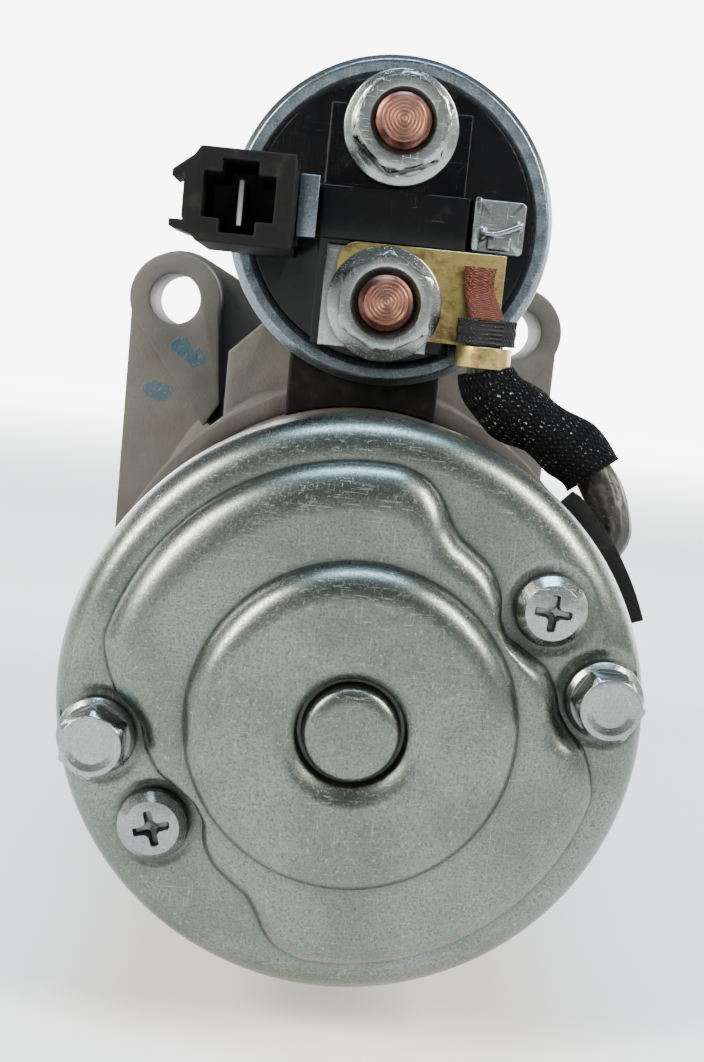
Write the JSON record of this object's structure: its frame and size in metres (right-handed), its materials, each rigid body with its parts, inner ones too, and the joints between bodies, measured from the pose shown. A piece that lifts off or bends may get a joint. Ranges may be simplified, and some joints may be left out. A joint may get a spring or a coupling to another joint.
{
  "type": "starter motor",
  "caption": "Gear-reduction starter motor: round motor with pressed end cover, solenoid above it with studs and plug, cast bracket with two ears and an open pinion nose.",
  "frame": {"origin": "centre of the pilot on the mounting face", "axes": "+Y along the motor axis to the pinion nose, +Z from the motor axis up to the solenoid"},
  "size_m": [0.0952, 0.1929, 0.1384],
  "materials": {
    "cast_aluminium": "matte cast",
    "zinc_steel": "zinc plated, soft gloss",
    "zinc_dark": "blue-grey zinc plated",
    "yoke_paint": "thin grey-brown coat",
    "steel": "machined",
    "dark_iron": "phosphated",
    "bronze": "sintered, matte",
    "copper": "bare",
    "brass": "passivated",
    "nut_zinc": "zinc plated",
    "cap_plastic": "moulded, glossy",
    "nylon": "matte",
    "plug_plastic": "satin",
    "rubber": "matte",
    "sleeve_weave": "woven",
    "lead_braid": "varnished braid",
    "magnet": "sintered ferrite",
    "carbon": "copper-graphite",
    "spring_steel": "drawn wire"
  },
  "bodies": {
    "housing": {"front_bracket": "cast_aluminium", "centre_bracket": "cast_aluminium", "nose_bush": "bronze", "centre_bush": "bronze", "rear_bush": "bronze", "ring_gear": "steel", "motor_plate": "steel", "fixed_core": "steel", "lever_pivot_pin": "steel", "s_blade": "steel", "side_clip": "steel", "yoke": "yoke_paint", "field_magnets": "magnet", "end_cover": "zinc_steel", "through_bolts": "nut_zinc", "cover_screws": "nut_zinc", "b_nut": "nut_zinc", "m_nut": "nut_zinc", "m_washer": "nut_zinc", "solenoid_screws": "nut_zinc", "m_plate": "nut_zinc", "ground_tab": "nut_zinc", "solenoid_case": "zinc_dark", "coil_bobbin": "nylon", "solenoid_coil": "copper", "terminal_bolts": "copper", "braid_end": "copper", "m_lug": "brass", "brush_cages": "brass", "solenoid_cap": "cap_plastic", "brush_plate": "cap_plastic", "s_connector": "plug_plastic", "sleeve_collar": "plug_plastic", "grommet": "rubber", "rubber_seal": "rubber", "lead_sleeve": "sleeve_weave", "lead": "lead_braid", "brush_springs": "spring_steel"},
    "armature": {"armature_shaft": "steel", "armature_core": "dark_iron", "armature_windings": "copper", "commutator": "copper"},
    "output": {"output_shaft": "steel", "planet_pins": "steel", "stop_collar": "steel"},
    "planet_1": {"planet_gear_1": "steel"},
    "planet_2": {"planet_gear_2": "steel"},
    "planet_3": {"planet_gear_3": "steel"},
    "drive": {"clutch_shell": "dark_iron", "shift_collar": "steel", "clutch_rollers": "steel"},
    "pinion": {"pinion": "steel"},
    "lever": {"shift_lever": "nylon"},
    "plunger": {"plunger": "steel", "return_spring": "spring_steel"},
    "contact": {"contact_bridge": "copper"},
    "brush_1": {"brush_1": "carbon"},
    "brush_2": {"brush_2": "carbon"},
    "brush_3": {"brush_3": "carbon"},
    "brush_4": {"brush_4": "carbon"}
  },
  "joints": [
    {"name": "armature_spin", "type": "hinge", "parent": "housing", "child": "armature", "pos_m": [0, -0.098, 0], "axis": [0, 1, 0], "continuous": true},
    {"name": "output_spin", "type": "hinge", "parent": "housing", "child": "output", "pos_m": [0, -0.02, 0], "axis": [0, 1, 0], "continuous": true},
    {"name": "planet_1_spin", "type": "hinge", "parent": "output", "child": "planet_1", "pos_m": [0.01688, -0.0685, 0], "axis": [0, 1, 0], "continuous": true},
    {"name": "planet_2_spin", "type": "hinge", "parent": "output", "child": "planet_2", "pos_m": [-0.00844, -0.0685, -0.01461], "axis": [0, 1, 0], "continuous": true},
    {"name": "planet_3_spin", "type": "hinge", "parent": "output", "child": "planet_3", "pos_m": [-0.00844, -0.0685, 0.01461], "axis": [0, 1, 0], "continuous": true},
    {"name": "plunger_slide", "type": "slide", "parent": "housing", "child": "plunger", "axis": [0, -1, 0], "range_m": [0, 0.00929], "stiffness_N_per_m": 2200, "springref_m": -0.004, "deforming": ["return_spring"]},
    {"name": "lever_swing", "type": "hinge", "parent": "housing", "child": "lever", "pos_m": [0, -0.033, 0.037], "axis": [1, 0, 0], "range_deg": [0, 18]},
    {"name": "drive_slide", "type": "slide", "parent": "output", "child": "drive", "axis": [0, 1, 0], "range_m": [0, 0.01064]},
    {"name": "pinion_overrun", "type": "hinge", "parent": "drive", "child": "pinion", "pos_m": [0, 0.01, 0], "axis": [0, 1, 0], "continuous": true},
    {"name": "contact_slide", "type": "slide", "parent": "housing", "child": "contact", "axis": [0, -1, 0], "range_m": [0, 0.0023]},
    {"name": "brush_1_lift", "type": "slide", "parent": "housing", "child": "brush_1", "axis": [1, 0, 0], "range_m": [0, 0.0025], "stiffness_N_per_m": 1800, "springref_m": -0.003, "deforming": ["brush_springs"]},
    {"name": "brush_2_lift", "type": "slide", "parent": "housing", "child": "brush_2", "axis": [0, 0, 1], "range_m": [0, 0.0025], "stiffness_N_per_m": 1800, "springref_m": -0.003, "deforming": ["brush_springs"]},
    {"name": "brush_3_lift", "type": "slide", "parent": "housing", "child": "brush_3", "axis": [-1, 0, 0], "range_m": [0, 0.0025], "stiffness_N_per_m": 1800, "springref_m": -0.003, "deforming": ["brush_springs"]},
    {"name": "brush_4_lift", "type": "slide", "parent": "housing", "child": "brush_4", "axis": [0, 0, -1], "range_m": [0, 0.0025], "stiffness_N_per_m": 1800, "springref_m": -0.003, "deforming": ["brush_springs"]}
  ],
  "couplings": [
    {"joint": "output_spin", "follows": "armature_spin", "ratio": 0.22222},
    {"joint": "planet_1_spin", "follows": "armature_spin", "ratio": -0.62222},
    {"joint": "planet_2_spin", "follows": "armature_spin", "ratio": -0.62222},
    {"joint": "planet_3_spin", "follows": "armature_spin", "ratio": -0.62222},
    {"joint": "lever_swing", "follows": "plunger_slide", "rad_per_m": 33.809},
    {"joint": "drive_slide", "follows": "plunger_slide", "ratio": 1.1448},
    {"joint": "contact_slide", "follows": "plunger_slide", "ratio": 0.24752}
  ]
}
